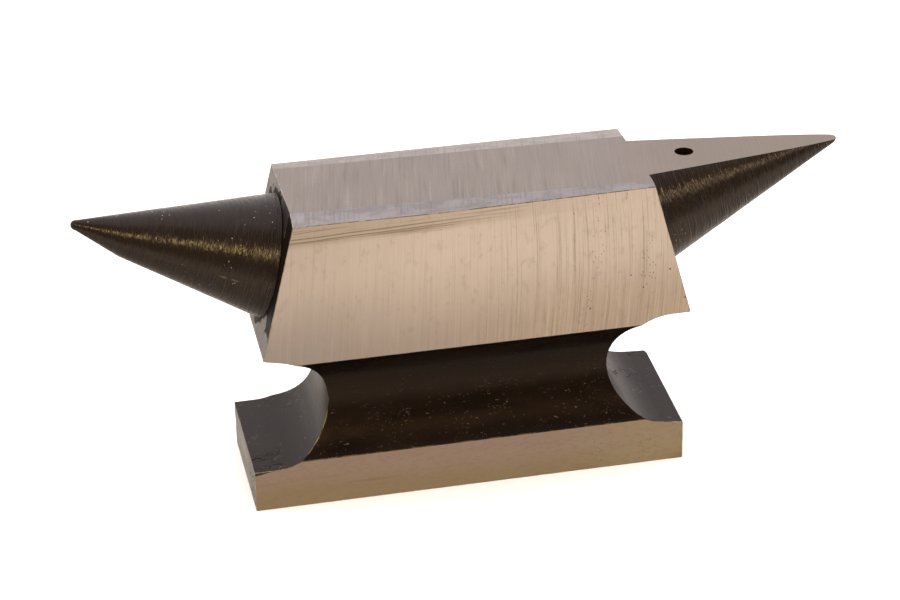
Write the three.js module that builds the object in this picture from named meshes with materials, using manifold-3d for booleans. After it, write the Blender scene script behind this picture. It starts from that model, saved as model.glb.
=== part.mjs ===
// Small double-horn bench anvil: a block milled from one flat bar, with a turned round horn and a
// turned flat-topped horn. Each horn has a spigot that sits in a blind bore in a sloping end of the
// block, and a dowel driven in from the back locks it there.
// Millimetres. +X runs towards the flat-topped horn, -Y is the front, +Z is up.
// The origin is the centre of the underside that the anvil stands on.
import * as THREE from 'three';
import { mergeVertices } from 'three/addons/utils/BufferGeometryUtils.js';
import Module from 'manifold-3d';

// ---- driving dimensions ----
const BAR_WIDTH = 25.4;            // the flat bar that base, waist and body are milled from
const BASE_LENGTH = 79.3;
const FACE_HEIGHT = 56.2;          // work face above the underside
const COVE_MID_HEIGHT = 19;        // between base and body, where all four coves are deepest
const FIT_GAP = 0.3;               // clearance between a horn, its dowel and the block
const STEEL_GREY = 0xa89a8c;
const LACQUER_BLACK = 0x1c1714;
const DOWEL_GREY = 0x77777a;

// Each end of the block: side is the sign of X, faceX the end of the work face, slope the lean of
// the end face from the vertical. An end cove is an arc that runs out along two straight flares.
const LEFT_END = {
  side: -1,
  faceX: 30.35,
  slope: THREE.MathUtils.degToRad(14.1),
  coveX: 35.9,
  coveZ: 19.1,
  coveRadius: 10.8,
  topFlare: THREE.MathUtils.degToRad(12),
  bottomFlare: 0,
  coveTilt: THREE.MathUtils.degToRad(1.5),
};
const RIGHT_END = {
  side: 1,
  faceX: 33.55,
  slope: THREE.MathUtils.degToRad(15.2),
  coveX: 37.3,
  coveZ: 19.9,
  coveRadius: 11,
  topFlare: 0,
  bottomFlare: THREE.MathUtils.degToRad(9),
  coveTilt: THREE.MathUtils.degToRad(3.8),
};

// The long coves on front and back: shallow arcs that stop at these two heights on the bar's faces.
const LONG_COVE = { top: 28.5, bottom: 9.1, depth: 4.6 };

// Hand-dressed flats along the two long edges of the work face, which taper from end to end.
const FRONT_FLAT = { side: -1, leftWidth: 3.85, leftDrop: 0.76, rightWidth: 1.55, rightDrop: 0.5 };
const BACK_FLAT = { side: 1, leftWidth: 2.6, leftDrop: 0.05, rightWidth: 4.1, rightDrop: 0.2 };

// Horns: seat is how far the root centre lies down the end face, rise the axis above level, shift
// the axis's distance from the middle plane, and taper the half-angle of the cone.
const ROUND_HORN = {
  end: LEFT_END,
  rootRadius: 11.2,
  taper: THREE.MathUtils.degToRad(15.7),
  rise: THREE.MathUtils.degToRad(15.5),
  seat: 12.7,
  shift: 1.2,
  straightLength: 26.2,
  length: 35.3,
  tipRadius: 0.9,
};
const FLAT_HORN = {
  end: RIGHT_END,
  rootRadius: 11.6,
  taper: THREE.MathUtils.degToRad(16.5),
  rise: THREE.MathUtils.degToRad(14.25),
  seat: 8.8,
  shift: -1.1,
  tipRadius: 1.3,
};
const SPIGOT = { radius: 4.5, length: 14 };
const PRITCHEL_HOLE = { radius: 1.7, x: 42.3, y: -0.6 };
// A dowel crosses each spigot at this depth and stops short of the front face.
const DOWEL = { radius: 1.5, length: 19, depth: 7.5, sunk: 0.05 };

const COVE_STEPS = 28;             // facets along each cove arc
const HORN_STEPS = 64;             // facets round a horn
const SPIGOT_STEPS = 32;
const HOLE_STEPS = 24;
const TIP_STEPS = 6;
const CUT_MARGIN = 6;              // how far a cutter runs past the metal it removes

// ---- joining and cutting ----
const wasm = await Module();
wasm.setup();

function solid(geometry) {
  const bare = geometry.clone();
  bare.deleteAttribute('normal');
  bare.deleteAttribute('uv');
  const merged = mergeVertices(bare, 1e-4);
  const mesh = new wasm.Mesh({
    numProp: 3,
    vertProperties: new Float32Array(merged.attributes.position.array),
    triVerts: new Uint32Array(merged.index.array),
  });
  return new wasm.Manifold(mesh);
}

function geometryOf(manifold) {
  const { vertProperties, triVerts } = manifold.getMesh();
  const geometry = new THREE.BufferGeometry();
  geometry.setAttribute('position', new THREE.BufferAttribute(vertProperties, 3));
  geometry.setIndex(new THREE.BufferAttribute(triVerts, 1));
  geometry.computeVertexNormals();
  return geometry;
}

// A side-view outline (x, z) pulled across the bar, centred on the middle plane.
function acrossBar(outline, width) {
  const geometry = new THREE.ExtrudeGeometry(new THREE.Shape(outline), {
    depth: width,
    bevelEnabled: false,
  });
  geometry.translate(0, 0, -width / 2);
  geometry.rotateX(Math.PI / 2);
  return geometry;
}

// ---- the block ----
// The bar sawn to length, with its upper part sawn to the two sloping ends.
function sawnBar() {
  const foot = BASE_LENGTH / 2;
  const spread = (end) => end.faceX + (FACE_HEIGHT - COVE_MID_HEIGHT) * Math.tan(end.slope);
  const outline = [
    [-foot, 0],
    [foot, 0],
    [foot, COVE_MID_HEIGHT],
    [spread(RIGHT_END), COVE_MID_HEIGHT],
    [RIGHT_END.faceX, FACE_HEIGHT],
    [-LEFT_END.faceX, FACE_HEIGHT],
    [-spread(LEFT_END), COVE_MID_HEIGHT],
    [-foot, COVE_MID_HEIGHT],
  ];
  return solid(acrossBar(outline.map(([x, z]) => new THREE.Vector2(x, z)), BAR_WIDTH));
}

// One end cove: the arc from its lower to its upper flare, and both flares run out past the end.
function endCoveCutter(end) {
  const reach = BASE_LENGTH / 2 + CUT_MARGIN - end.coveX;
  const start = -Math.PI / 2 - end.bottomFlare;
  const sweep = -Math.PI + end.bottomFlare + end.topFlare;
  const points = [];
  for (let i = 0; i <= COVE_STEPS; i += 1) {
    const angle = start + (sweep * i) / COVE_STEPS;
    points.push([end.coveRadius * Math.cos(angle), end.coveRadius * Math.sin(angle)]);
  }
  const [bottomX, bottomZ] = points[0];
  const [topX, topZ] = points[COVE_STEPS];
  points.push([reach, topZ + (reach - topX) * Math.tan(end.topFlare)]);
  points.push([reach, bottomZ - (reach - bottomX) * Math.tan(end.bottomFlare)]);
  const outline = points.map(([x, z]) => new THREE.Vector2(end.side * x, z));
  const geometry = acrossBar(outline, BAR_WIDTH + 2 * CUT_MARGIN);
  geometry.rotateX(end.coveTilt);
  geometry.translate(end.side * end.coveX, 0, end.coveZ);
  return solid(geometry);
}

// A long cove: one cylinder along the bar, bulging into the front or the back face.
function longCoveCutter(side) {
  const half = (LONG_COVE.top - LONG_COVE.bottom) / 2;
  const radius = (half ** 2 + LONG_COVE.depth ** 2) / (2 * LONG_COVE.depth);
  const geometry = new THREE.CylinderGeometry(radius, radius, BASE_LENGTH * 1.5, 4 * COVE_STEPS);
  geometry.rotateZ(Math.PI / 2);
  const y = side * (BAR_WIDTH / 2 - LONG_COVE.depth + radius);
  geometry.translate(0, y, (LONG_COVE.top + LONG_COVE.bottom) / 2);
  return solid(geometry);
}

// A dressed flat: a box whose underside leans from the work face down to the bar's face.
function edgeFlatCutter(flat) {
  const left = -LEFT_END.faceX;
  const right = RIGHT_END.faceX;
  const along = (from, to, x) => from + ((to - from) * (x - left)) / (right - left);
  const geometry = new THREE.BoxGeometry(2, 2, 2);
  const corner = geometry.attributes.position;
  for (let i = 0; i < corner.count; i += 1) {
    const x = corner.getX(i) < 0 ? left - CUT_MARGIN : right + CUT_MARGIN;
    const outer = corner.getY(i) * flat.side > 0;
    const width = along(flat.leftWidth, flat.rightWidth, x);
    const drop = along(flat.leftDrop, flat.rightDrop, x);
    const inset = outer ? -CUT_MARGIN : width;
    const lowest = outer ? FACE_HEIGHT - drop * (1 + CUT_MARGIN / width) : FACE_HEIGHT;
    const z = corner.getZ(i) > 0 ? FACE_HEIGHT + CUT_MARGIN : lowest;
    corner.setXYZ(i, x, flat.side * (BAR_WIDTH / 2 - inset), z);
  }
  return solid(geometry);
}

// ---- the horns' seats ----
// The centre of a horn's root, on the end face.
function rootCentre(horn) {
  const { faceX, side, slope } = horn.end;
  const x = side * (faceX + horn.seat * Math.sin(slope));
  return new THREE.Vector3(x, horn.shift, FACE_HEIGHT - horn.seat * Math.cos(slope));
}

// Takes a shape made along +X to a horn's root, pointing outwards and raised above level by rise.
function standOnEnd(geometry, horn, rise) {
  const { side } = horn.end;
  if (side < 0) {
    geometry.rotateZ(Math.PI);
  }
  const centre = rootCentre(horn);
  return geometry.rotateY(-side * rise).translate(centre.x, centre.y, centre.z);
}

// A round bar along +X between two distances from the root.
function bar(radius, from, to, steps) {
  const geometry = new THREE.CylinderGeometry(radius, radius, to - from, steps);
  return geometry.rotateZ(-Math.PI / 2).translate((from + to) / 2, 0, 0);
}

function spigot(horn) {
  const shape = bar(SPIGOT.radius, -SPIGOT.length, CUT_MARGIN, SPIGOT_STEPS);
  return solid(standOnEnd(shape, horn, horn.rise));
}

function spigotBore(horn) {
  const end = -SPIGOT.length - FIT_GAP;
  const shape = bar(SPIGOT.radius + FIT_GAP, end, CUT_MARGIN, SPIGOT_STEPS);
  return solid(standOnEnd(shape, horn, horn.rise));
}

// A round bar along Y from the back face inwards, through the middle of a spigot.
function dowelShape(horn, radius, sunk, length) {
  const back = BAR_WIDTH / 2 - sunk;
  const geometry = new THREE.CylinderGeometry(radius, radius, length, HOLE_STEPS);
  const centre = rootCentre(horn);
  const x = centre.x - horn.end.side * DOWEL.depth * Math.cos(horn.rise);
  const z = centre.z - DOWEL.depth * Math.sin(horn.rise);
  return geometry.translate(x, back - length / 2, z);
}

function dowelBore(horn) {
  const length = CUT_MARGIN + DOWEL.length + FIT_GAP;
  return solid(dowelShape(horn, DOWEL.radius + FIT_GAP, -CUT_MARGIN, length));
}

// The block's side of an end face, less the gap, to trim a horn's root square to that face.
function rootTrimmer(horn) {
  const size = 2 * FACE_HEIGHT;
  const geometry = new THREE.BoxGeometry(size, size, size).translate(FIT_GAP - size / 2, 0, 0);
  return solid(standOnEnd(geometry, horn, horn.end.slope));
}

// A cone along +X with a round tip, from (radius, distance) pairs that start and end on the axis.
function cone(profile) {
  const points = profile.map(([radius, distance]) => new THREE.Vector2(radius, distance));
  return new THREE.LatheGeometry(points, HORN_STEPS).rotateZ(-Math.PI / 2);
}

// Trims a cone to its end face, adds the spigot and drills it for the dowel.
function seated(geometry, horn) {
  return solid(standOnEnd(geometry, horn, horn.rise))
    .subtract(rootTrimmer(horn))
    .add(spigot(horn))
    .subtract(dowelBore(horn));
}

// Round tip of a cone: the arc from the cone's flank to the axis, centred at centreX.
function tipArc(centreX, radius, flankAngle) {
  const points = [];
  for (let i = 0; i <= TIP_STEPS; i += 1) {
    const angle = flankAngle + ((Math.PI / 2 - flankAngle) * i) / TIP_STEPS;
    const ring = i === TIP_STEPS ? 0 : radius * Math.cos(angle);
    points.push([ring, centreX + radius * Math.sin(angle)]);
  }
  return points;
}

// ---- nodes ----
function named(name, geometry, colour, roughness, metalness) {
  const material = new THREE.MeshStandardMaterial({ color: colour, roughness, metalness });
  const mesh = new THREE.Mesh(geometry, material);
  mesh.name = name;
  return mesh;
}

function anvilBlock() {
  const cutters = [
    endCoveCutter(LEFT_END),
    endCoveCutter(RIGHT_END),
    longCoveCutter(-1),
    longCoveCutter(1),
    edgeFlatCutter(FRONT_FLAT),
    edgeFlatCutter(BACK_FLAT),
    spigotBore(ROUND_HORN),
    spigotBore(FLAT_HORN),
    dowelBore(ROUND_HORN),
    dowelBore(FLAT_HORN),
  ];
  const block = cutters.reduce((metal, cutter) => metal.subtract(cutter), sawnBar());
  return named('anvil_block', geometryOf(block), STEEL_GREY, 0.4, 0.9);
}

// The round horn's upper line runs straight to the tip. Past straightLength its underside is
// dressed away more steeply, so each ring there is smaller and sits higher on the axis.
function roundHorn() {
  const { rootRadius, taper, straightLength, length, tipRadius } = ROUND_HORN;
  const coneRadius = (x) => rootRadius - x * Math.tan(taper);
  const tipX = length - tipRadius;
  const shoulder = coneRadius(straightLength);
  const steepness = (shoulder - tipRadius) / (tipX - straightLength);
  const lift = (x) => {
    const past = Math.min(Math.max(x - straightLength, 0), tipX - straightLength);
    return past * (steepness - Math.tan(taper));
  };
  const geometry = cone([
    [0, -CUT_MARGIN],
    [coneRadius(-CUT_MARGIN), -CUT_MARGIN],
    [shoulder, straightLength],
    ...tipArc(tipX, tipRadius, Math.atan(steepness)),
  ]);
  const point = geometry.attributes.position;
  for (let i = 0; i < point.count; i += 1) {
    point.setZ(i, point.getZ(i) + lift(point.getX(i)));
  }
  const horn = seated(geometry, ROUND_HORN);
  return named('round_horn', geometryOf(horn), LACQUER_BLACK, 0.35, 0.4);
}

// The flat horn is the same kind of cone, seated higher and planed level with the work face.
function flatHorn() {
  const { rootRadius, taper, tipRadius } = FLAT_HORN;
  const tipX = rootRadius / Math.tan(taper) - tipRadius / Math.sin(taper);
  const geometry = cone([
    [0, -CUT_MARGIN],
    [rootRadius + CUT_MARGIN * Math.tan(taper), -CUT_MARGIN],
    ...tipArc(tipX, tipRadius, taper),
  ]);
  const size = 2 * BASE_LENGTH;
  const planed = new THREE.BoxGeometry(size, size, size).translate(0, 0, FACE_HEIGHT + size / 2);
  const { radius, x, y } = PRITCHEL_HOLE;
  const drill = new THREE.CylinderGeometry(radius, radius, FACE_HEIGHT, HOLE_STEPS);
  drill.rotateX(Math.PI / 2).translate(x, y, FACE_HEIGHT);
  const horn = seated(geometry, FLAT_HORN).subtract(solid(planed)).subtract(solid(drill));
  return named('flat_horn', geometryOf(horn), LACQUER_BLACK, 0.35, 0.4);
}

function hornDowel(name, horn) {
  const geometry = dowelShape(horn, DOWEL.radius, DOWEL.sunk, DOWEL.length);
  return named(name, geometry, DOWEL_GREY, 0.4, 0.9);
}

const anvil = new THREE.Group();
anvil.add(anvilBlock());
anvil.add(roundHorn());
anvil.add(flatHorn());
anvil.add(hornDowel('round_horn_dowel', ROUND_HORN));
anvil.add(hornDowel('flat_horn_dowel', FLAT_HORN));

export default anvil;
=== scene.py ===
"""Looks for the double-horn bench anvil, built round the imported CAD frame.

Metres, same axes as the CAD: +X towards the flat horn, -Y is the front, +Z is up.
"""
import math

import bmesh
import bpy
from mathutils import Matrix, Vector, noise


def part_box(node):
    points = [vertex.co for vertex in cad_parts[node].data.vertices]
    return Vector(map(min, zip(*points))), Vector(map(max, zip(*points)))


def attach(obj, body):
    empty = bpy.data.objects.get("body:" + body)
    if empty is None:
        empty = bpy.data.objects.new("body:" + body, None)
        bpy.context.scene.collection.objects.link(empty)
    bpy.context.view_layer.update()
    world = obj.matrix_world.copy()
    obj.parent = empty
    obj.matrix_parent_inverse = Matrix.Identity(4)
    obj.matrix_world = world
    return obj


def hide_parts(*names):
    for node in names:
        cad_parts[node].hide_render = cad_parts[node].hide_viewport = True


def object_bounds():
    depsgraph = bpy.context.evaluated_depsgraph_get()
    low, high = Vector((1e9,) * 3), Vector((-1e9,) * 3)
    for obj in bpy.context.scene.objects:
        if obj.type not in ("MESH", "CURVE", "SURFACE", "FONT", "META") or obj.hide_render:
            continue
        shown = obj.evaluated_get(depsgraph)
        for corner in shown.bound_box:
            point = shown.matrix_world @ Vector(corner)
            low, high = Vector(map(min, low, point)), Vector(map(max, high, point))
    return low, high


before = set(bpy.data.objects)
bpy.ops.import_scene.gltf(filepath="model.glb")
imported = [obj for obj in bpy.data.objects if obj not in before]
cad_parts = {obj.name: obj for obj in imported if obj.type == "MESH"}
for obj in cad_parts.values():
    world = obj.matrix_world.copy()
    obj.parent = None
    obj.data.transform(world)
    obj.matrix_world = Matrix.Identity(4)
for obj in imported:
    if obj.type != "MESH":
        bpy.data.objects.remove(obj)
cad_low, cad_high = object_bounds()

MM = 0.001
BLOCK_LOW, BLOCK_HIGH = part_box("anvil_block")
FACE_HEIGHT = BLOCK_HIGH.z
HALF_WIDTH = BLOCK_HIGH.y
BLOCK_END = BLOCK_HIGH.x

# ---- the turned horns, as the CAD draws them ----
LEFT_END = {"side": -1, "face_x": 30.35 * MM, "slope": math.radians(14.1)}
RIGHT_END = {"side": 1, "face_x": 33.55 * MM, "slope": math.radians(15.2)}
ROUND_HORN = {
    "finish": "round_horn",
    "end": LEFT_END,
    "root_radius": 11.2 * MM,
    "taper": math.radians(15.7),
    "rise": math.radians(15.5),
    "seat": 12.7 * MM,
    "shift": 1.2 * MM,
    "straight": 26.2 * MM,
    "length": 35.3 * MM,
    "tip": 0.9 * MM,
}
FLAT_HORN = {
    "finish": "flat_horn",
    "end": RIGHT_END,
    "root_radius": 11.6 * MM,
    "taper": math.radians(16.5),
    "rise": math.radians(14.25),
    "seat": 8.8 * MM,
    "shift": -1.1 * MM,
    "tip": 1.3 * MM,
}
FOOT_TOP = {"x": -39.65 * MM, "z": 7.96 * MM, "slope": 0.03}
SPIGOT_RADIUS = 4.5 * MM
SPIGOT_CHAMFER = 0.4 * MM
SPIGOT_LENGTH = 14 * MM
PRITCHEL = {"radius": 1.7 * MM, "x": 42.3 * MM, "y": -0.6 * MM}
ROOT_GAP = 0.002 * MM
ROOT_CHAMFER = 0.12 * MM
DOWEL_HAIRLINE = 0.03 * MM

# How finely a horn is drawn, and over what distances its root and tip blend in.
RING_STEPS = 160
RING_PITCH = 0.45 * MM
TIP_ROWS = 9
ROOT_FADE = 3 * MM
TIP_FADE = 3 * MM
DENT_SIZE = 6 * MM
DENT_DEPTH = 0.03 * MM
DOWEL_BORE_GAP = 0.3 * MM
EDGE_ROUND = 0.11 * MM
SHARP_ANGLE = math.radians(22)
CLOSE = 0.01 * MM
# The body's end faces are above END_FROM, and the coves are below WAIST_TO.
END_FROM = 28 * MM
WAIST_TO = 32 * MM


# ---------------------------------------------------------------- nodes
class Graph:
    """A material's node tree with short calls for what the finishes below need."""

    def __init__(self, name):
        self.material = bpy.data.materials.new(name)
        self.material.use_nodes = True
        self.tree = self.material.node_tree
        self.shader = self.tree.nodes["Principled BSDF"]
        self.place = self.tree.nodes.new("ShaderNodeTexCoord").outputs["Object"]

    def node(self, kind, **settings):
        made = self.tree.nodes.new(kind)
        for key, value in settings.items():
            setattr(made, key, value)
        return made

    def feed(self, socket, value):
        if isinstance(value, bpy.types.NodeSocket):
            self.tree.links.new(value, socket)
        else:
            socket.default_value = value

    def stretched(self, vector, scale, turn=(0, 0, 0)):
        """The vector scaled and then turned."""
        made = self.node("ShaderNodeMapping")
        self.feed(made.inputs["Vector"], vector)
        made.inputs["Scale"].default_value = scale
        made.inputs["Rotation"].default_value = turn
        return made.outputs["Vector"]

    def mapped(self, scale, turn=(0, 0, 0)):
        """The piece's own coordinates, scaled and then turned."""
        return self.stretched(self.place, scale, turn)

    def joined(self, x, y, z):
        made = self.node("ShaderNodeCombineXYZ")
        for socket, value in zip(made.inputs, (x, y, z)):
            self.feed(socket, value)
        return made.outputs[0]

    def distance(self, point):
        """How far each spot is from a fixed point."""
        made = self.node("ShaderNodeVectorMath", operation="DISTANCE")
        self.feed(made.inputs[0], self.place)
        made.inputs[1].default_value = point
        return made.outputs["Value"]

    def off_plane(self, point, normal):
        """How far each spot is in front of the plane through point."""
        made = self.node("ShaderNodeVectorMath", operation="DOT_PRODUCT")
        self.feed(made.inputs[0], self.place)
        made.inputs[1].default_value = normal
        return self.minus(made.outputs["Value"], normal.dot(point))

    def noise(self, vector, detail=3.0, rough=0.55, warp=0.0):
        made = self.node("ShaderNodeTexNoise")
        self.feed(made.inputs["Vector"], vector)
        made.inputs["Scale"].default_value = 1.0
        made.inputs["Detail"].default_value = detail
        made.inputs["Roughness"].default_value = rough
        made.inputs["Distortion"].default_value = warp
        return made.outputs["Fac"]

    def specks(self, vector):
        made = self.node("ShaderNodeTexVoronoi")
        self.feed(made.inputs["Vector"], vector)
        made.inputs["Scale"].default_value = 1.0
        made.inputs["Randomness"].default_value = 1.0
        return made.outputs["Distance"]

    def span(self, value, low, high, out_low=0.0, out_high=1.0):
        made = self.node("ShaderNodeMapRange", clamp=True)
        made.interpolation_type = "SMOOTHSTEP"
        self.feed(made.inputs["Value"], value)
        for socket, number in (("From Min", low), ("From Max", high),
                               ("To Min", out_low), ("To Max", out_high)):
            made.inputs[socket].default_value = number
        return made.outputs["Result"]

    def math(self, operation, first, second=0.0):
        made = self.node("ShaderNodeMath", operation=operation)
        self.feed(made.inputs[0], first)
        self.feed(made.inputs[1], second)
        return made.outputs[0]

    def times(self, first, second):
        return self.math("MULTIPLY", first, second)

    def plus(self, first, second):
        return self.math("ADD", first, second)

    def minus(self, first, second):
        return self.math("SUBTRACT", first, second)

    def larger(self, first, second):
        return self.math("MAXIMUM", first, second)

    def absolute(self, value):
        return self.math("ABSOLUTE", value)

    def mix(self, factor, first, second):
        made = self.node("ShaderNodeMix", data_type="RGBA")
        self.feed(made.inputs[0], factor)
        self.feed(made.inputs[6], first)
        self.feed(made.inputs[7], second)
        return made.outputs[2]

    def axes(self):
        made = self.node("ShaderNodeSeparateXYZ")
        self.feed(made.inputs[0], self.place)
        return made.outputs

    def bump(self, *layers):
        """Layers are (height, strength, depth in metres), and each builds on the one before."""
        normal = None
        for height, strength, depth in layers:
            made = self.node("ShaderNodeBump")
            made.inputs["Strength"].default_value = strength
            made.inputs["Distance"].default_value = depth
            self.feed(made.inputs["Height"], height)
            if normal is not None:
                self.feed(made.inputs["Normal"], normal)
            normal = made.outputs["Normal"]
        self.feed(self.shader.inputs["Normal"], normal)

    def finish(self, colour, roughness, metallic, **plain):
        self.feed(self.shader.inputs["Base Color"], colour)
        self.feed(self.shader.inputs["Roughness"], roughness)
        self.feed(self.shader.inputs["Metallic"], metallic)
        for name, value in plain.items():
            self.shader.inputs[name.replace("_", " ")].default_value = value
        return self.material


def rgb(red, green, blue):
    return (red, green, blue, 1.0)


# Ground steel. The high side colour is painted light and the left one painted shade: the body's
# sides are lighter higher up and darker to the left.
STEEL_PAINTED_LIGHT_HIGH = rgb(0.780, 0.665, 0.565)
STEEL_LOW = rgb(0.505, 0.403, 0.325)
STEEL_PAINTED_SHADE_LEFT = rgb(0.400, 0.347, 0.300)
STEEL_WARM = rgb(0.575, 0.465, 0.345)
STEEL_GROOVE = rgb(0.320, 0.262, 0.205)
STEEL_BRIGHT = rgb(0.850, 0.750, 0.650)
LACQUER_BROWN = rgb(0.0120, 0.0058, 0.0020)
LACQUER_TINT = (1.0, 0.78, 0.62, 1.0)
HORN_TINT = (1.0, 0.91, 0.86, 1.0)

# the ground sides
PIT = rgb(0.20, 0.150, 0.105)
SPOT = rgb(0.07, 0.05, 0.035)
FILED = rgb(0.40, 0.325, 0.215)
SCORE = rgb(0.235, 0.175, 0.115)

# the sides of the base, darker than the body and darker towards the bottom: partly tarnish,
# partly painted shade
BASE_UPPER = rgb(0.335, 0.250, 0.195)
BASE_LOWER = rgb(0.300, 0.225, 0.135)
BASE_SMEAR = rgb(0.215, 0.158, 0.092)
BASE_RIGHT = rgb(0.370, 0.300, 0.185)
BASE_HATCH = rgb(0.225, 0.165, 0.115)

# the work face and the planed horn
TOP_MAIN = rgb(0.305, 0.252, 0.210)
TOP_CLOUD = rgb(0.290, 0.236, 0.197)
TOP_GROOVE = rgb(0.235, 0.190, 0.156)
TOP_RIDGE = rgb(0.360, 0.305, 0.262)
TOP_HORN = rgb(0.272, 0.216, 0.170)
TOP_MARK = rgb(0.46, 0.43, 0.40)

# the dressed edges
DRESSED_LOW = rgb(0.355, 0.310, 0.275)
DRESSED_HIGH = rgb(0.450, 0.400, 0.360)
DRESSED_LINE = rgb(0.285, 0.246, 0.215)

# the end faces of the body
END_HIGH = rgb(0.152, 0.134, 0.129)
END_LOW = rgb(0.118, 0.101, 0.096)
END_CLOUD = rgb(0.130, 0.109, 0.100)
END_LACQUER = rgb(0.008, 0.004, 0.002)

# rounded edges, bright on the body and dull round the coves, with a painted golden highlight low
# on the left cove ridge
EDGE_WORN = rgb(0.30, 0.25, 0.20)
EDGE_BRIGHT = rgb(0.56, 0.49, 0.41)
EDGE_DARK = rgb(0.055, 0.038, 0.026)
EDGE_DULL = rgb(0.17, 0.13, 0.095)
EDGE_PAINTED_GLINT = rgb(0.36, 0.27, 0.12)

# the lacquer in the coves
COVE_LOW = rgb(0.0030, 0.0009, 0.0001)
COVE_HIGH = rgb(0.0055, 0.0021, 0.0006)
COVE_DUST = rgb(0.15, 0.112, 0.060)
COVE_HAIR = rgb(0.085, 0.062, 0.034)
COVE_CREASE = rgb(0.004, 0.002, 0.001)

# the blackened horns
HORN_LOW = rgb(0.0066, 0.0027, 0.0007)
HORN_HIGH = rgb(0.0110, 0.0056, 0.0021)
HORN_WORN = rgb(0.070, 0.050, 0.026)
# the light scuff line, partly scuffs and partly a painted highlight
HORN_SCUFF_GLINT = rgb(0.11, 0.085, 0.052)
HORN_CHIP = rgb(0.28, 0.24, 0.18)

# the dowels
DOWEL_HIGH = rgb(0.44, 0.43, 0.42)
DOWEL_LOW = rgb(0.33, 0.32, 0.31)

# How far the lines across the top run along X for each step across.
CROSS_SLANT = 0.182
# How far the lower edge of the filing scores on the sides climbs for each step along X.
SCORE_CLIMB = 0.026
# The heights between which the sides change from the base's look to the body's.
BASE_TOP = (0.0095, 0.012)


def stray_lacquer(g, x, z):
    """Lacquer that ran over the top edge of the base at its left end, on the sides."""
    edge = g.plus(FOOT_TOP["z"], g.times(FOOT_TOP["slope"], g.minus(x, FOOT_TOP["x"])))
    drop = g.minus(edge, z)
    drop = g.minus(drop, g.span(x, -0.0398, -0.0335, 0.00062, -0.0002))
    ragged = g.times(g.minus(g.noise(g.mapped((700, 700, 700)), 3, 0.6), 0.5), 0.0004)
    return g.times(g.span(g.plus(drop, ragged), 0.0, 0.00018, 1.0, 0.0),
                   g.span(x, -0.0340, -0.0330, 1.0, 0.0))


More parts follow.
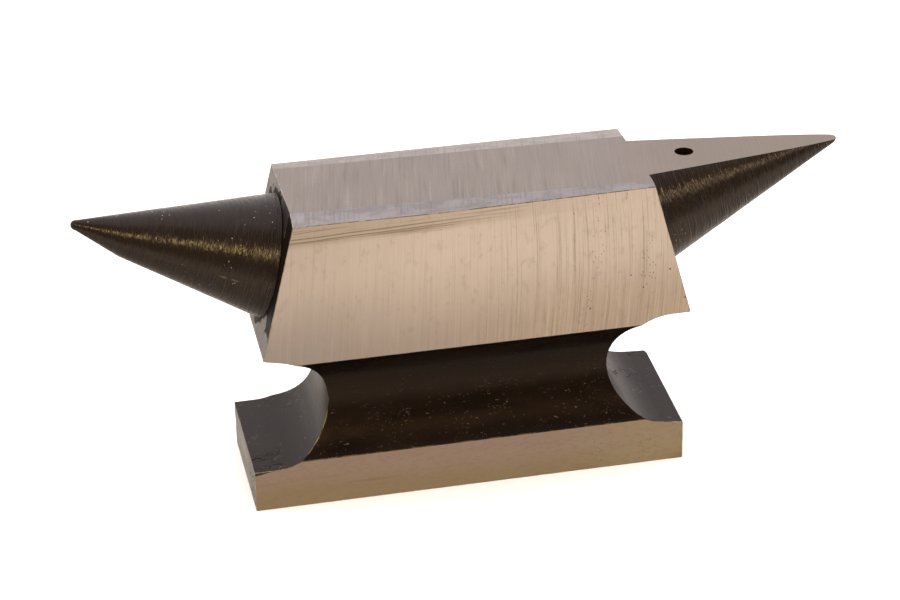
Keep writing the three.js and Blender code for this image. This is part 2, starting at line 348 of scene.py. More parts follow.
def side_steel():
    """Ground sides. The wheel left long upright arcs, which lean on the left and bow on the
    right. Filing the edge above scored the upper left and pits lie on the right. The body's
    sides are painted lighter higher up and darker to the left, as painted light and shade, and
    the base is painted darker, partly tarnish and partly painted shade."""
    g = Graph("ground_steel_sides")
    x, _, z = g.axes()
    lean = g.span(x, -0.030, 0.018, 0.085, 0.0)
    bow = g.span(x, -0.010, 0.022, 0.0, 4.3)
    height = g.minus(z, 0.042)
    shift = g.minus(g.times(lean, height), g.times(bow, g.times(height, height)))
    arc = g.joined(g.minus(x, shift), 0.0, z)
    fine = g.noise(g.stretched(arc, (4300, 0, 55)), 1.5, 0.5)
    lines = g.noise(g.stretched(arc, (2100, 0, 38)), 2.0, 0.55)
    broad = g.noise(g.stretched(arc, (520, 0, 26)), 2.0, 0.5)
    cloud = g.noise(g.mapped((42, 42, 60)), 3, 0.5)
    streak = g.plus(g.times(fine, 0.48), g.plus(g.times(lines, 0.37), g.times(broad, 0.15)))
    grain = g.noise(g.mapped((1700, 1700, 900)), 3, 0.6)
    streak = g.plus(streak, g.times(g.minus(grain, 0.5), 0.07))
    deep = g.times(g.span(x, -0.012, 0.026, 0.24, 0.80),
                   g.times(g.span(z, 0.030, 0.050, 1.0, 0.85), g.span(z, *BASE_TOP, 0.0, 1.0)))
    # Painted shade and light: the body's sides are darker to the left and lighter higher up.
    colour = g.mix(g.span(x, -0.034, 0.024), STEEL_PAINTED_SHADE_LEFT, STEEL_LOW)
    rise = g.times(g.span(g.plus(z, g.times(cloud, 0.006)), 0.031, 0.051),
                   g.span(x, -0.034, 0.002, 0.62, 1.0))
    colour = g.mix(rise, colour, STEEL_PAINTED_LIGHT_HIGH)
    yellow = g.times(g.span(z, 0.030, 0.044, 1.0, 0.0), g.span(x, 0.004, 0.022, 0.0, 0.8))
    colour = g.mix(g.times(yellow, g.span(cloud, 0.3, 0.6)), colour, STEEL_WARM)
    colour = g.mix(g.times(g.span(streak, 0.50, 0.66), deep), colour, STEEL_GROOVE)
    colour = g.mix(g.times(g.span(streak, 0.50, 0.36), g.times(deep, 0.40)), colour, STEEL_BRIGHT)

    chain = g.times(g.span(g.noise(g.mapped((230, 230, 70)), 2), 0.52, 0.62),
                    g.span(x, 0.012, 0.026, 0.05, 1.0))
    pit = g.times(g.span(g.specks(g.mapped((1900, 1900, 1300))), 0.10, 0.26, 1.0, 0.0), chain)
    spot = g.times(g.span(g.specks(g.mapped((420, 420, 420))), 0.045, 0.085, 1.0, 0.0),
                   g.span(g.noise(g.mapped((90, 90, 90)), 1), 0.50, 0.58))
    spot = g.times(spot, g.span(x, 0.006, 0.030, 0.12, 1.0))
    mottle = g.noise(g.mapped((620, 620, 420)), 4, 0.65)
    colour = g.mix(g.span(mottle, 0.52, 0.70, 0.0, 0.22), colour, STEEL_GROOVE)
    colour = g.mix(g.times(pit, 0.50), colour, PIT)
    colour = g.mix(spot, colour, SPOT)

    drop = g.minus(z, g.times(x, SCORE_CLIMB))
    score = g.joined(x, 0.0, drop)
    scratch = g.noise(g.stretched(score, (55, 0, 3000)), 2.0, 0.6, 0.3)
    band = g.times(g.span(drop, 0.0516, 0.0528), g.span(x, -0.012, 0.034, 1.0, 0.0))
    tan = g.times(band, 0.40)
    colour = g.mix(tan, colour, FILED)
    cut = g.times(g.span(scratch, 0.54, 0.70, 0.0, 0.65), band)
    wander = g.noise(g.stretched(score, (60, 0, 0)), 1.0)
    for level in (0.05315, 0.0538):
        gap = g.absolute(g.minus(drop, g.plus(g.times(wander, 0.0004), level - 0.0002)))
        line = g.times(g.span(gap, 0.00004, 0.00016, 0.75, 0.0),
                       g.span(x, -0.012, 0.014, 1.0, 0.0))
        cut = g.larger(cut, line)
    colour = g.mix(cut, colour, SCORE)

    # The base is darker than the body and darker towards the bottom: partly tarnish, partly
    # painted shade.
    base = g.span(z, *BASE_TOP, 1.0, 0.0)
    low = g.span(g.plus(z, g.times(cloud, 0.004)), 0.0035, 0.0085, 1.0, 0.0)
    smear = g.noise(g.mapped((38, 38, 520)), 3, 0.6, 0.5)
    brown = g.mix(low, BASE_UPPER, BASE_LOWER)
    brown = g.mix(g.times(low, g.span(smear, 0.54, 0.68, 0.0, 0.6)), brown, BASE_SMEAR)
    brown = g.mix(g.times(g.span(x, 0.012, 0.036, 0.0, 0.6), g.span(cloud, 0.4, 0.6)),
                  brown, BASE_RIGHT)
    hatch = g.noise(g.mapped((900, 900, 2300), (0, 0.7, 0)), 3, 0.6, 0.4)
    brown = g.mix(g.span(hatch, 0.46, 0.66, 0.0, 0.22), brown, BASE_HATCH)
    colour = g.mix(base, colour, brown)
    stray = g.times(stray_lacquer(g, x, z), base)
    colour = g.mix(stray, colour, LACQUER_BROWN)
    relief = g.times(streak, deep)
    rough = g.plus(0.27, g.times(relief, 0.10))
    bare = g.minus(1.0, stray)
    g.bump((relief, 0.6, 1.2e-5), (cut, 0.5, -1.5e-5), (pit, 0.8, -4e-5), (spot, 0.8, -5e-5))
    return g.finish(colour, rough, bare)


def top_steel():
    """The work face and the planed horn: fine lines laid at a slight slant across the bar."""
    g = Graph("ground_steel_top")
    x, y, _ = g.axes()
    across = g.joined(g.minus(x, g.times(y, CROSS_SLANT)), y, 0.0)
    fine = g.noise(g.stretched(across, (3900, 75, 0)), 1.5, 0.5)
    lines = g.noise(g.stretched(across, (1900, 60, 0)), 2.0, 0.5)
    broad = g.noise(g.stretched(across, (420, 35, 0)), 2.0, 0.5)
    cloud = g.noise(g.mapped((75, 75, 75)), 3, 0.5)
    streak = g.plus(g.times(fine, 0.35), g.plus(g.times(lines, 0.45), g.times(broad, 0.20)))
    deep = g.span(x, 0.004, 0.036, 0.8, 0.12)
    colour = g.mix(g.span(cloud, 0.35, 0.65), TOP_MAIN, TOP_CLOUD)
    colour = g.mix(g.times(g.span(streak, 0.50, 0.68), deep), colour, TOP_GROOVE)
    colour = g.mix(g.times(g.span(streak, 0.46, 0.34), deep), colour, TOP_RIDGE)
    colour = g.mix(g.span(x, 0.028, 0.046), colour, TOP_HORN)
    mark = g.times(g.span(g.specks(g.mapped((300, 300, 300))), 0.03, 0.06, 1.0, 0.0),
                   g.span(g.noise(g.mapped((110, 110, 110)), 2), 0.56, 0.62))
    colour = g.mix(mark, colour, TOP_MARK)
    rough = g.span(streak, 0.35, 0.65, 0.24, 0.34)
    g.bump((g.times(streak, deep), 0.6, 0.7e-5), (cloud, 0.12, 5e-5))
    return g.finish(colour, rough, 1.0)


def dressed_steel():
    """The long edges dressed by hand: smeared, bluer and smoother than the work face."""
    g = Graph("ground_steel_dressed")
    x, y, _ = g.axes()
    across = g.joined(g.minus(x, g.times(y, CROSS_SLANT)), y, 0.0)
    lines = g.noise(g.stretched(across, (2300, 160, 0)), 2.0, 0.55)
    smear = g.noise(g.mapped((190, 520, 520)), 3, 0.6, 0.8)
    colour = g.mix(g.span(smear, 0.36, 0.64), DRESSED_LOW, DRESSED_HIGH)
    colour = g.mix(g.span(lines, 0.50, 0.68, 0.0, 0.55), colour, DRESSED_LINE)
    g.bump((smear, 0.35, 4e-5), (lines, 0.5, 0.8e-5))
    return g.finish(colour, g.span(smear, 0.3, 0.7, 0.22, 0.34), 1.0)


def end_steel():
    """Sawn and filed ends of the body, where lacquer has strayed round the roots of the horns."""
    g = Graph("ground_steel_ends")
    x, y, z = g.axes()
    lines = g.noise(g.mapped((0, 2300, 60)), 2, 0.6)
    cloud = g.noise(g.mapped((260, 260, 260)), 3, 0.6)
    colour = g.mix(g.span(lines, 0.38, 0.62), END_HIGH, END_LOW)
    colour = g.mix(g.span(cloud, 0.5, 0.7, 0.0, 0.4), colour, END_CLOUD)
    ragged = g.times(g.minus(cloud, 0.5), 0.006)
    stray = g.span(g.plus(y, ragged), -0.0088, -0.0080, 1.0, 0.0)
    stray = g.times(stray, g.span(g.plus(z, ragged), 0.0335, 0.0345))
    for horn in (ROUND_HORN, FLAT_HORN):
        middle = horn_axes(horn)[0]
        far = g.distance((middle.x, middle.y, middle.z))
        near = g.span(g.plus(far, ragged), horn["root_radius"] + 0.6 * MM,
                      horn["root_radius"] + 1.0 * MM, 1.0, 0.0)
        stray = g.larger(stray, near)
    colour = g.mix(stray, colour, END_LACQUER)
    bare = g.minus(1.0, stray)
    rough = g.plus(g.span(cloud, 0.3, 0.7, 0.30, 0.42), g.times(stray, 0.15))
    g.bump((lines, 0.5, 8e-6), (cloud, 0.3, 2e-5))
    return g.finish(colour, rough, bare, IOR=1.3, Specular_IOR_Level=0.12)


def edge_steel():
    """Metal where the edges have worn or been broken with a file, with a golden highlight painted
    low on the left cove ridge.
    """
    g = Graph("ground_steel_edges")
    x, _, z = g.axes()
    wear = g.noise(g.mapped((500, 500, 500)), 3, 0.6)
    bright = g.mix(g.span(wear, 0.40, 0.62), EDGE_WORN, EDGE_BRIGHT)
    dull = g.mix(g.span(wear, 0.45, 0.65), EDGE_DARK, EDGE_DULL)
    # A painted golden highlight along the lower part of the left cove ridge, broken by the wear.
    gold_glint_ridge = g.times(g.times(g.span(x, -0.0235, -0.0250), g.span(x, -0.0310, -0.0285)),
                    g.times(g.span(z, 0.0175, 0.0150), g.span(z, 0.0094, 0.0104)))
    dull = g.mix(g.times(gold_glint_ridge, g.span(wear, 0.35, 0.55)), dull, EDGE_PAINTED_GLINT)
    low = g.times(g.span(z, 0.0300, 0.0285), g.span(z, 0.0076, 0.0084))
    g.bump((wear, 0.4, 1e-5))
    return g.finish(g.mix(low, bright, dull), g.span(wear, 0.3, 0.7, 0.28, 0.42), 1.0)


def cove_lacquer():
    """Brushed-on black lacquer in the coves and on the ends of the base, with dust, creases
    and hairline scratches."""
    g = Graph("black_lacquer_coves")
    x, y, z = g.axes()
    flow = g.noise(g.mapped((55, 55, 190)), 3, 0.5, 0.5)
    ripple = g.noise(g.mapped((240, 240, 800)), 3, 0.55)
    grit = g.span(g.noise(g.mapped((130, 130, 180)), 2), 0.52, 0.64)
    heap = g.span(g.distance((0.0235, -0.0105, 0.0150)), 0.0008, 0.0050, 1.0, 0.0)
    grit = g.larger(g.times(grit, g.span(z, 0.023, 0.015, 0.25, 0.8)), heap)
    dust = g.times(g.span(g.specks(g.mapped((2300, 2300, 2300))), 0.07, 0.17, 1.0, 0.0),
                   g.times(grit, g.span(g.absolute(x), 0.0262, 0.0285, 1.0, 0.1)))
    hair = g.noise(g.mapped((700, 900, 1900)), 2, 0.6, 1.6)
    hair = g.times(g.span(hair, 0.66, 0.71), g.span(z, 0.020, 0.016, 0.15, 0.8))
    colour = g.mix(g.span(flow, 0.35, 0.65), COVE_LOW, COVE_HIGH)
    colour = g.mix(dust, colour, COVE_DUST)
    colour = g.mix(hair, colour, COVE_HAIR)
    crease = g.noise(g.mapped((170, 380, 380)), 2, 0.6, 1.4)
    crease = g.span(g.absolute(g.minus(crease, 0.5)), 0.0, 0.022, 1.0, 0.0)
    left = g.times(g.span(x, -0.0325, -0.0345), g.span(y, -0.0045, -0.0085))
    fold = g.noise(g.mapped((110, 190, 110), (0, 0, 0.6)), 2, 0.5, 0.9)
    fold = g.span(g.absolute(g.minus(fold, 0.5)), 0.0, 0.012, 1.0, 0.0)
    right = g.times(g.span(x, 0.0290, 0.0310), g.span(y, -0.001, 0.003))
    crease = g.larger(g.times(crease, left), g.times(fold, right))
    colour = g.mix(crease, colour, COVE_CREASE)
    rough = g.plus(g.span(flow, 0.3, 0.7, 0.24, 0.32), g.times(dust, 0.3))
    rough = g.plus(rough, g.times(crease, 0.35))
    g.bump((ripple, 0.3, 2e-5), (flow, 0.35, 1.5e-4), (g.larger(dust, hair), 0.5, 2e-5),
           (crease, 1.0, -2.2e-4))
    return g.finish(colour, rough, 0.0, IOR=1.335, Specular_Tint=LACQUER_TINT)


def horn_lacquer(horn):
    """Blackened turned steel: tool lines round the horn show through the thin lacquer."""
    g = Graph("black_lacquer_" + horn["finish"])
    turn = (0, horn["end"]["side"] * horn["rise"], 0)
    along = g.mapped((1, 1, 1), turn)
    fine = g.noise(g.stretched(along, (4600, 330, 330)), 2, 0.5)
    rings = g.noise(g.stretched(along, (2600, 230, 230)), 2, 0.6)
    coarse = g.noise(g.stretched(along, (700, 160, 160)), 2, 0.5)
    cloud = g.noise(g.mapped((150, 150, 150)), 3, 0.5)
    chip = g.times(g.span(g.specks(g.mapped((1100, 1100, 1100))), 0.06, 0.17, 1.0, 0.0),
                   g.span(g.noise(g.mapped((170, 170, 170)), 2), 0.53, 0.63))
    tool = g.plus(g.times(fine, 0.4), g.times(rings, 0.6))
    worn = g.times(g.span(tool, 0.54, 0.64), g.span(cloud, 0.40, 0.60, 0.2, 1.0))
    colour = g.mix(g.span(tool, 0.38, 0.62), HORN_LOW, HORN_HIGH)
    colour = g.mix(g.times(worn, 0.20), colour, HORN_WORN)
    # On the round horn, a broken line painted lighter low on the front: partly scuffs, partly a
    # painted highlight.
    if horn is ROUND_HORN:
        colour = g.mix(scuffed_glint_line(g, horn, cloud), colour, HORN_SCUFF_GLINT)
    colour = g.mix(chip, colour, HORN_CHIP)
    rough = g.plus(g.span(tool, 0.40, 0.60, 0.27, 0.08), g.span(cloud, 0.3, 0.7, 0.0, 0.06))
    g.bump((cloud, 0.25, 1.2e-4), (coarse, 0.6, 1.2e-4), (tool, 1.0, 2.6e-4), (chip, 0.5, 2e-5))
    return g.finish(colour, rough, g.times(worn, 0.35), IOR=1.45, Specular_Tint=HORN_TINT)


def scuffed_glint_line(g, horn, cloud):
    """A broken line low along the front of the horn, partly scuffs and partly a painted
    highlight: the thin line of glints there.
    """
    centre, along, up, across = horn_axes(horn)
    angle = math.radians(100)
    spoke = up * math.cos(angle) - across * math.sin(angle)
    aside = g.absolute(g.off_plane(centre, along.cross(spoke)))
    ragged = g.times(cloud, 0.0012)
    line = g.span(g.plus(aside, ragged), 0.00045, 0.00075, 1.0, 0.0)
    length = g.off_plane(centre, along)
    broken = g.span(g.noise(g.mapped((420, 420, 420)), 3, 0.6), 0.46, 0.58)
    stretch = g.times(g.span(length, 0.003, 0.006), g.span(length, 0.012, 0.020, 1.0, 0.0))
    line = g.times(line, g.times(broken, stretch))
    front = g.span(g.off_plane(centre, -across), 0.001, 0.002)
    return g.times(line, front)


def dowel_steel():
    g = Graph("dowel_steel_ground")
    lines = g.noise(g.mapped((2300, 0, 60)), 2, 0.6)
    colour = g.mix(g.span(lines, 0.38, 0.62), DOWEL_HIGH, DOWEL_LOW)
    g.bump((lines, 0.5, 8e-6))
    return g.finish(colour, g.span(lines, 0.3, 0.7, 0.24, 0.38), 1.0)


# ---------------------------------------------------------------- shapes
def object_from(bm, name, materials):
    mesh = bpy.data.meshes.new(name)
    bm.to_mesh(mesh)
    bm.free()
    for material in materials:
        mesh.materials.append(material)
    made = bpy.data.objects.new(name, mesh)
    bpy.context.scene.collection.objects.link(made)
    return made


def smooth_shaded(piece):
    piece.data.polygons.foreach_set("use_smooth", [True] * len(piece.data.polygons))
    piece.data.set_sharp_from_angle(angle=SHARP_ANGLE)


def cut_with(piece, cutter):
    """Takes cutter's volume out of piece, and removes cutter."""
    modifier = piece.modifiers.new("cut", "BOOLEAN")
    modifier.operation = "DIFFERENCE"
    modifier.solver = "EXACT"
    modifier.object = cutter
    settle(piece)
    bpy.data.objects.remove(cutter)


def settle(piece):
    """Applies every modifier on piece."""
    graph = bpy.context.evaluated_depsgraph_get()
    mesh = bpy.data.meshes.new_from_object(piece.evaluated_get(graph))
    piece.modifiers.clear()
    piece.data = mesh


def weigh_edges(bm, skip=None):
    """Marks the edges to round: every sharp one, apart from those that skip picks out."""
    weight = bm.edges.layers.float.new("bevel_weight_edge")
    for edge in bm.edges:
        if len(edge.link_faces) == 2 and edge.calc_face_angle() > SHARP_ANGLE:
            edge[weight] = 0.0 if skip and skip(edge) else 1.0


def round_edges(piece, width, material=-1):
    modifier = piece.modifiers.new("edges", "BEVEL")
    modifier.width = width
    modifier.segments = 2
    modifier.limit_method = "WEIGHT"
    modifier.use_clamp_overlap = False
    modifier.harden_normals = True
    modifier.material = material


def round_bar(centre, radius, low, high, axis, steps=64):
    """A bar of the given radius along axis ("Y" or "Z") between two heights on it."""
    bm = bmesh.new()
    bmesh.ops.create_cone(bm, cap_ends=True, segments=steps, radius1=radius, radius2=radius,
                          depth=high - low)
    middle = (low + high) / 2
    if axis == "Y":
        turn = Matrix.Rotation(math.pi / 2, 4, "X")
        place = Matrix.Translation((centre[0], middle, centre[1]))
    else:
        turn = Matrix.Identity(4)
        place = Matrix.Translation((centre[0], centre[1], middle))
    bmesh.ops.transform(bm, matrix=place @ turn, verts=bm.verts)
    return bm


# ---- the block ----
TOP, DRESSED, SIDES, ENDS, COVES, EDGES = range(6)


def end_normal(end):
    return Vector((end["side"] * math.cos(end["slope"]), 0, math.sin(end["slope"])))


def finish_of(centre, normal):
    """Which finish a face of the block has. The end faces of the base go with the coves."""
    if centre.z > FACE_HEIGHT - 1.2 * MM and normal.z > 0.9:
        return TOP if normal.z > 0.99999 else DRESSED
    if abs(normal.y) > 0.999 and abs(centre.y) > HALF_WIDTH - CLOSE:
        return SIDES
    if centre.z < CLOSE:
        return ENDS
    for end in (LEFT_END, RIGHT_END):
        if centre.z > END_FROM and normal.dot(end_normal(end)) > 0.9995:
            return ENDS
    return COVES if centre.z < WAIST_TO else ENDS


def chip_out(piece, spot, size):
    """Knocks a small facetted chip out of piece."""
    bm = bmesh.new()
    bmesh.ops.create_icosphere(bm, subdivisions=1, radius=1.0)
    place = Matrix.Translation(spot) @ Matrix.Diagonal((*size, 1.0))
    bmesh.ops.transform(bm, matrix=place, verts=bm.verts)
    cut_with(piece, object_from(bm, "chip", []))


def within_cad(piece):
    """Holds every vertex inside the box that the CAD measures."""
    for vertex in piece.data.vertices:
        for axis in range(3):
            vertex.co[axis] = min(max(vertex.co[axis], cad_low[axis]), cad_high[axis])


def under_flat_horn(edge):
    """The end of the work face, where the planed horn runs on from it without a step."""
    first, second = (v.co for v in edge.verts)
    on_top = min(first.z, second.z) > FACE_HEIGHT - 0.02 * MM
    return on_top and min(first.x, second.x) > 0 and abs(first.x - second.x) < CLOSE


def cut_corner(piece, corner, legs):
    """Files the corner of piece at the back right off level, by so much along each edge."""
    bm = bmesh.new()
    for axis in range(3):
        spot = corner.copy()
        spot[axis] -= legs[axis]
        bm.verts.new(spot)
    bm.verts.new(corner + Vector((1, 1, 1)) * MM)
    bmesh.ops.convex_hull(bm, input=bm.verts)
    bmesh.ops.recalc_face_normals(bm, faces=bm.faces)
    cut_with(piece, object_from(bm, "file", []))


def damaged(block):
    """The knocks on the block: two chipped edges on the left and a filed corner on the right."""
    spots = [v.co for v in block.data.vertices]
    front = [s for s in spots if s.y < CLOSE - HALF_WIDTH]
    back = [s for s in spots if s.y > HALF_WIDTH - CLOSE]
    body_corner = min((s for s in front if 24 * MM < s.z < WAIST_TO), key=lambda s: s.x).copy()
    foot_corner = max((s for s in back if 5 * MM < s.z < 15 * MM), key=lambda s: s.x).copy()
    chip_out(block, Vector((BLOCK_LOW.x, HALF_WIDTH, 4.6 * MM)), (0.45 * MM, 0.6 * MM, 0.9 * MM))
    chip_out(block, body_corner, (0.35 * MM, 0.35 * MM, 0.5 * MM))
    cut_corner(block, foot_corner, (0.9 * MM, 1.0 * MM, 0.9 * MM))


def anvil_block():
    bm = bmesh.new()
    bm.from_mesh(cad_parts["anvil_block"].data)
    bmesh.ops.remove_doubles(bm, verts=bm.verts, dist=0.02 * MM)
    bmesh.ops.dissolve_limit(bm, angle_limit=math.radians(0.6), verts=bm.verts, edges=bm.edges)
    block = object_from(bm, "anvil_block_body",
                        [top_steel(), dressed_steel(), side_steel(), end_steel(), cove_lacquer(),
                         edge_steel()])
    damaged(block)
    bm = bmesh.new()
    bm.from_mesh(block.data)
    bm.normal_update()
    for face in bm.faces:
        face.material_index = finish_of(face.calc_center_median(), face.normal)
    weigh_edges(bm, under_flat_horn)
    bm.to_mesh(block.data)
    bm.free()
    smooth_shaded(block)
    round_edges(block, EDGE_ROUND, EDGES)
    return block


# ---- the horns ----
def horn_axes(horn):
    """The horn's root centre and its unit vectors along the axis, up and sideways."""
    end, rise = horn["end"], horn["rise"]
    side, slope = end["side"], end["slope"]
    centre = Vector((side * (end["face_x"] + horn["seat"] * math.sin(slope)), horn["shift"],
                     FACE_HEIGHT - horn["seat"] * math.cos(slope)))
    along = Vector((side * math.cos(rise), 0, math.sin(rise)))
    up = Vector((-side * math.sin(rise), 0, math.cos(rise)))
    return centre, along, up, Vector((0, 1, 0))


def horn_profile(horn):
    """(distance, radius, lift) down the horn, from just off the root to the tip's arc."""
    tan_taper = math.tan(horn["taper"])

    def cone(x):
        return horn["root_radius"] - x * tan_taper

    if "length" in horn:
        tip_x = horn["length"] - horn["tip"]
        straight = horn["straight"]
        steep = (cone(straight) - horn["tip"]) / (tip_x - straight)
        flank = math.atan(steep)
    else:
        tip_x = horn["root_radius"] / tan_taper - horn["tip"] / math.sin(horn["taper"])
        straight, steep, flank = tip_x, tan_taper, horn["taper"]
    rows = []
    start = tip_x + horn["tip"] * math.sin(flank)
    count = round(start / RING_PITCH)
    for i in range(1, count):
        x = start * i / count
        past = max(x - straight, 0)
        radius = cone(min(x, straight)) - past * steep
        rows.append((x, radius, past * (steep - tan_taper)))
    lift = (tip_x - straight) * (steep - tan_taper)
    for i in range(TIP_ROWS):
        angle = flank + (math.pi / 2 - flank) * i / TIP_ROWS
        rows.append((tip_x + horn["tip"] * math.sin(angle), horn["tip"] * math.cos(angle), lift))
    return rows, tip_x + horn["tip"], lift


def uneven(x, angle, seed):
    """Hand work leaves a horn a few hundredths of a millimetre out of true, always inwards."""
    spot = Vector((x / DENT_SIZE, 1.3 * math.cos(angle), 1.3 * math.sin(angle) + seed))
    return -DENT_DEPTH * (0.5 + 0.5 * noise.noise(spot))


def horn_body(horn, name, materials, seed):
    centre, along, up, across = horn_axes(horn)
    normal = end_normal(horn["end"])
    tan_taper = math.tan(horn["taper"])
    rows, tip_distance, tip_lift = horn_profile(horn)
    bm = bmesh.new()

    def ring(distance_at, radius_at, lift=0.0):
        points = []
        for k in range(RING_STEPS):
            angle = 2 * math.pi * k / RING_STEPS
            spoke = up * math.cos(angle) + across * math.sin(angle)
            spot = centre + along * distance_at(angle) + spoke * radius_at(angle) + up * lift
            points.append(bm.verts.new(spot))
        return points

    def root(angle, gap):
        """How far along the axis the cone meets the plane that lies gap off the end face."""
        lean = normal.dot(up * math.cos(angle) + across * math.sin(angle))
        return (gap - horn["root_radius"] * lean) / (normal.dot(along) - tan_taper * lean)

    def plane(angle, radius, gap):
        lean = normal.dot(up * math.cos(angle) + across * math.sin(angle))
        return (gap - radius * lean) / normal.dot(along)

    rings = [
        ring(lambda a: -SPIGOT_LENGTH, lambda a: SPIGOT_RADIUS - SPIGOT_CHAMFER),
        ring(lambda a: -SPIGOT_LENGTH + SPIGOT_CHAMFER, lambda a: SPIGOT_RADIUS),
        ring(lambda a: plane(a, SPIGOT_RADIUS, ROOT_GAP), lambda a: SPIGOT_RADIUS),
        ring(lambda a: plane(a, horn["root_radius"] - ROOT_CHAMFER, ROOT_GAP),
             lambda a: horn["root_radius"] - ROOT_CHAMFER - root(a, ROOT_GAP) * tan_taper),
        ring(lambda a: root(a, ROOT_GAP + ROOT_CHAMFER),
             lambda a: horn["root_radius"] - root(a, ROOT_GAP + ROOT_CHAMFER) * tan_taper),
    ]
    for distance, radius, lift in rows:
        fade = max(0.0, 1 - distance / ROOT_FADE)
        dent = min(1.0, radius / TIP_FADE)
        rings.append(ring(
            lambda a: distance + fade * root(a, ROOT_GAP),
            lambda a: radius - fade * root(a, ROOT_GAP) * tan_taper
            + dent * uneven(distance, a, seed),
            lift))
    for first, second in zip(rings, rings[1:]):
        for k in range(RING_STEPS):
            n = (k + 1) % RING_STEPS
            bm.faces.new((first[k], first[n], second[n], second[k]))
    tip = bm.verts.new(centre + along * tip_distance + up * tip_lift)
    for k in range(RING_STEPS):
        bm.faces.new((rings[-1][k], rings[-1][(k + 1) % RING_STEPS], tip))
    bm.faces.new(reversed(rings[0]))
    bmesh.ops.recalc_face_normals(bm, faces=bm.faces)
    return object_from(bm, name, materials)


def dowel_place(horn):
    low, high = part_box("round_horn_dowel" if horn is ROUND_HORN else "flat_horn_dowel")
    return (low + high) / 2, (high.x - low.x) / 2, low.y, high.y


def bored(piece, horn):
    """Bores the horn's spigot for its dowel."""
    middle, radius, low, _ = dowel_place(horn)
    bar = round_bar((middle.x, middle.z), radius + DOWEL_BORE_GAP, low - 1 * MM, HALF_WIDTH, "Y")
    cut_with(piece, object_from(bar, "bore", []))


def round_horn():
    horn = horn_body(ROUND_HORN, "round_horn_turned", [horn_lacquer(ROUND_HORN)], 1.7)
    bored(horn, ROUND_HORN)
    smooth_shaded(horn)
    return horn


def flat_horn():
    horn = horn_body(FLAT_HORN, "flat_horn_planed",
                     [horn_lacquer(FLAT_HORN), top_steel()], 5.1)
    bored(horn, FLAT_HORN)
    bm = bmesh.new()
    bmesh.ops.create_cube(bm, size=2 * BLOCK_END)
    bmesh.ops.translate(bm, verts=bm.verts, vec=(BLOCK_END, 0, FACE_HEIGHT + BLOCK_END))
    cut_with(horn, object_from(bm, "planer", []))
    drill = round_bar((PRITCHEL["x"], PRITCHEL["y"]), PRITCHEL["radius"],
                      FACE_HEIGHT / 3, FACE_HEIGHT + 5 * MM, "Z")
    cut_with(horn, object_from(drill, "drill", []))
    for face in horn.data.polygons:
        if face.normal.z > 0.999 and face.center.z > FACE_HEIGHT - CLOSE:
            face.material_index = 1
    smooth_shaded(horn)
    return horn


def horn_dowel(horn, name):
    """A dowel driven in from the back and ground off level with the back face."""
    middle, radius, low, high = dowel_place(horn)
    bm = round_bar((middle.x, middle.z), radius + DOWEL_BORE_GAP - DOWEL_HAIRLINE, low, high, "Y",
                   96)
    weigh_edges(bm)
    dowel = object_from(bm, name, [dowel_steel()])
    smooth_shaded(dowel)
    round_edges(dowel, 0.06 * MM)
    return dowel


# ---------------------------------------------------------------- studio
# How bright the tent is from the front, -Y (0), to the back, +Y (1), and its tint by height.
TENT = [(0.0, rgb(0.23, 0.22, 0.21)), (0.28, rgb(0.23, 0.22, 0.21)),
        (0.46, rgb(0.95, 0.95, 0.95)), (1.0, rgb(1.22, 1.22, 1.22))]
TENT_TINT = [(0.45, rgb(1.0, 0.93, 0.88)), (0.90, rgb(0.90, 0.89, 1.0))]
# What the steel mirrors below the horizon: the lit table, from well below the horizon down.
TABLE = [(0.08, rgb(0.55, 0.48, 0.42)), (0.24, rgb(1.00, 0.87, 0.755))]
TABLE_FROM, TABLE_FULL = -0.10, -0.44

FLOOR_SIZE = 3.0
LAMP_TARGET = Vector((0, 0, 0.03))
LAMP_DISTANCE = 1.2
WARM = (1.0, 0.74, 0.36)
MILD = (1.0, 0.80, 0.50)
# Width, height, watts and colour.
OVERHEAD = (2.4, 1.8, 25, (1.0, 0.97, 0.94))
OVERHEAD_PLACE = (0, 0.02, 0.85)
# Name, azimuth and elevation in degrees, and then as above.
SOFTBOXES = [("warm_lamp_left", -14, 30, 0.28, 0.26, 4.8, WARM),
             ("warm_lamp_right", 45, 25, 0.40, 0.26, 1.9, MILD)]


def direction(azimuth, elevation):
    """The unit vector to azimuth degrees round from the front and elevation degrees up."""
    a, e = math.radians(azimuth), math.radians(elevation)
    return Vector((math.sin(a) * math.cos(e), -math.cos(a) * math.cos(e), math.sin(e)))


def area_lamp(name, width, height, watts, colour):
    light = bpy.data.lights.new(name, "AREA")
    light.shape = "RECTANGLE"
    light.size = width
    light.size_y = height
    light.energy = watts
    light.color = colour
    lamp = bpy.data.objects.new(name, light)
    bpy.context.scene.collection.objects.link(lamp)
    return lamp


def overhead():
    """The big soft box above and a little behind, which lights the floor and isn't mirrored."""
    lamp = area_lamp("overhead", *OVERHEAD)
    lamp.location = OVERHEAD_PLACE
    lamp.visible_glossy = False


def softbox(name, azimuth, elevation, *lamp_facts):
    """A box lamp at LAMP_DISTANCE from the anvil, which faces it."""
    lamp = area_lamp(name, *lamp_facts)
    towards = direction(azimuth, elevation)
    lamp.location = LAMP_TARGET + towards * LAMP_DISTANCE
    lamp.rotation_mode = "QUATERNION"
    lamp.rotation_quaternion = towards.to_track_quat("Z", "Y")


def colour_ramp(tree, value, stops):
    ramp = tree.nodes.new("ShaderNodeValToRGB")
    marks = ramp.color_ramp.elements
    while len(marks) < len(stops):
        marks.new(0.5)
    for mark, (position, colour) in zip(marks, stops):
        mark.position = position
        mark.color = colour
    tree.links.new(value, ramp.inputs["Fac"])
    return ramp.outputs["Color"]


def from_minus_one(tree, value):
    """Brings a direction's coordinate, from -1 to 1, to the range from 0 to 1."""
    made = tree.nodes.new("ShaderNodeMapRange")
    made.inputs["From Min"].default_value = -1
    tree.links.new(value, made.inputs["Value"])
    return made.outputs["Result"]


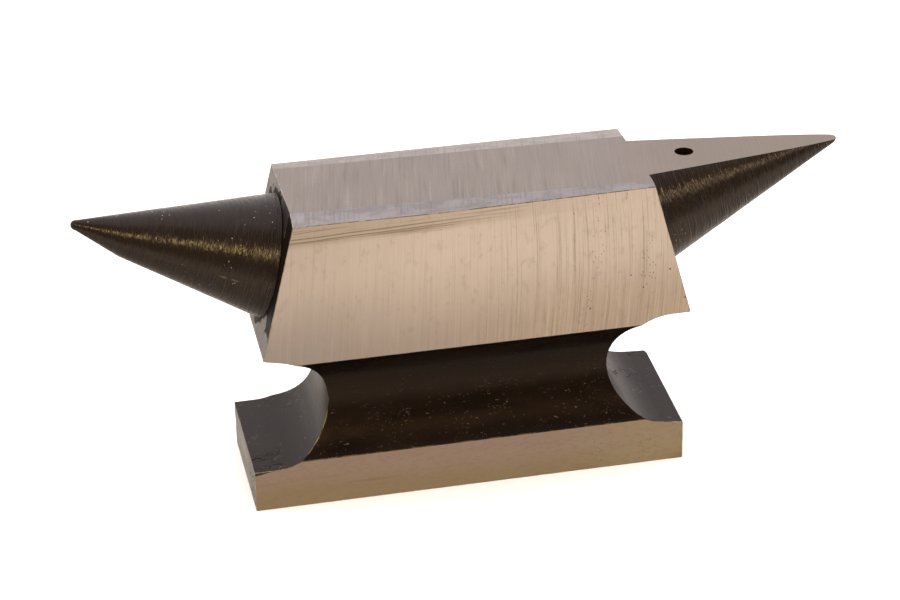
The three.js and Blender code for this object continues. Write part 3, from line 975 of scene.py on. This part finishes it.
def studio_world():
    """A light tent behind and above the object, dim in front, over a warm lit table."""
    world = bpy.data.worlds.new("studio")
    world.use_nodes = True
    tree = world.node_tree
    place = tree.nodes.new("ShaderNodeTexCoord")
    split = tree.nodes.new("ShaderNodeSeparateXYZ")
    tree.links.new(place.outputs["Generated"], split.inputs[0])
    bright = colour_ramp(tree, from_minus_one(tree, split.outputs["Y"]), TENT)
    height = from_minus_one(tree, split.outputs["Z"])
    tint = colour_ramp(tree, height, TENT_TINT)
    both = tree.nodes.new("ShaderNodeMix")
    both.data_type = "RGBA"
    both.blend_type = "MULTIPLY"
    both.inputs[0].default_value = 1.0
    tree.links.new(bright, both.inputs[6])
    tree.links.new(tint, both.inputs[7])
    below = tree.nodes.new("ShaderNodeMapRange")
    below.interpolation_type = "SMOOTHSTEP"
    below.inputs["From Min"].default_value = TABLE_FROM
    below.inputs["From Max"].default_value = TABLE_FULL
    tree.links.new(split.outputs["Z"], below.inputs["Value"])
    table = tree.nodes.new("ShaderNodeMix")
    table.data_type = "RGBA"
    tree.links.new(below.outputs["Result"], table.inputs[0])
    tree.links.new(both.outputs[2], table.inputs[6])
    tree.links.new(colour_ramp(tree, height, TABLE), table.inputs[7])
    tree.links.new(table.outputs[2], tree.nodes["Background"].inputs["Color"])
    bpy.context.scene.world = world


def floor():
    """A pale flat board with the faintest mottling."""
    bm = bmesh.new()
    bmesh.ops.create_grid(bm, x_segments=60, y_segments=60, size=FLOOR_SIZE)
    g = Graph("pale_floor")
    cloud = g.noise(g.mapped((6, 6, 6)), 2, 0.5)
    colour = g.mix(cloud, rgb(0.93, 0.93, 0.93), rgb(0.95, 0.95, 0.95))
    board = object_from(bm, "floor", [g.finish(colour, 0.9, 0.0)])
    board.location.z = BLOCK_LOW.z - 0.02 * MM
    board.visible_glossy = False


# Angles in degrees, lens in millimetres.
CAMERA = {"target": (-0.00087, 0, 0.0314), "distance": 0.484, "azimuth": -11.52,
          "elevation": 27.33, "roll": -1.21, "lens": 107.18}


def camera():
    data = bpy.data.cameras.new("camera")
    data.lens = CAMERA["lens"]
    data.sensor_width = 36
    data.clip_start = 0.01
    made = bpy.data.objects.new("camera", data)
    a, r = math.radians(CAMERA["azimuth"]), math.radians(CAMERA["roll"])
    back = direction(CAMERA["azimuth"], CAMERA["elevation"])
    level = Vector((math.cos(a), math.sin(a), 0))
    rise = back.cross(level)
    right = level * math.cos(r) + rise * math.sin(r)
    up = rise * math.cos(r) - level * math.sin(r)
    turn = Matrix((right, up, back)).transposed().to_4x4()
    made.matrix_world = Matrix.Translation(Vector(CAMERA["target"])
                                           + back * CAMERA["distance"]) @ turn
    bpy.context.scene.collection.objects.link(made)
    bpy.context.scene.camera = made


# ---------------------------------------------------------------- put together
def place(piece, node, slot):
    settle(piece)
    within_cad(piece)
    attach(piece, "root")
    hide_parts(node)


camera()
studio_world()
floor()
overhead()
for facts in SOFTBOXES:
    softbox(*facts)

place(anvil_block(), "anvil_block", "ground_steel")
place(round_horn(), "round_horn", "black_lacquer")
place(flat_horn(), "flat_horn", "black_lacquer")
place(horn_dowel(ROUND_HORN, "round_horn_dowel_pin"), "round_horn_dowel", "dowel_steel")
place(horn_dowel(FLAT_HORN, "flat_horn_dowel_pin"), "flat_horn_dowel", "dowel_steel")

bpy.context.scene.view_settings.view_transform = "Standard"
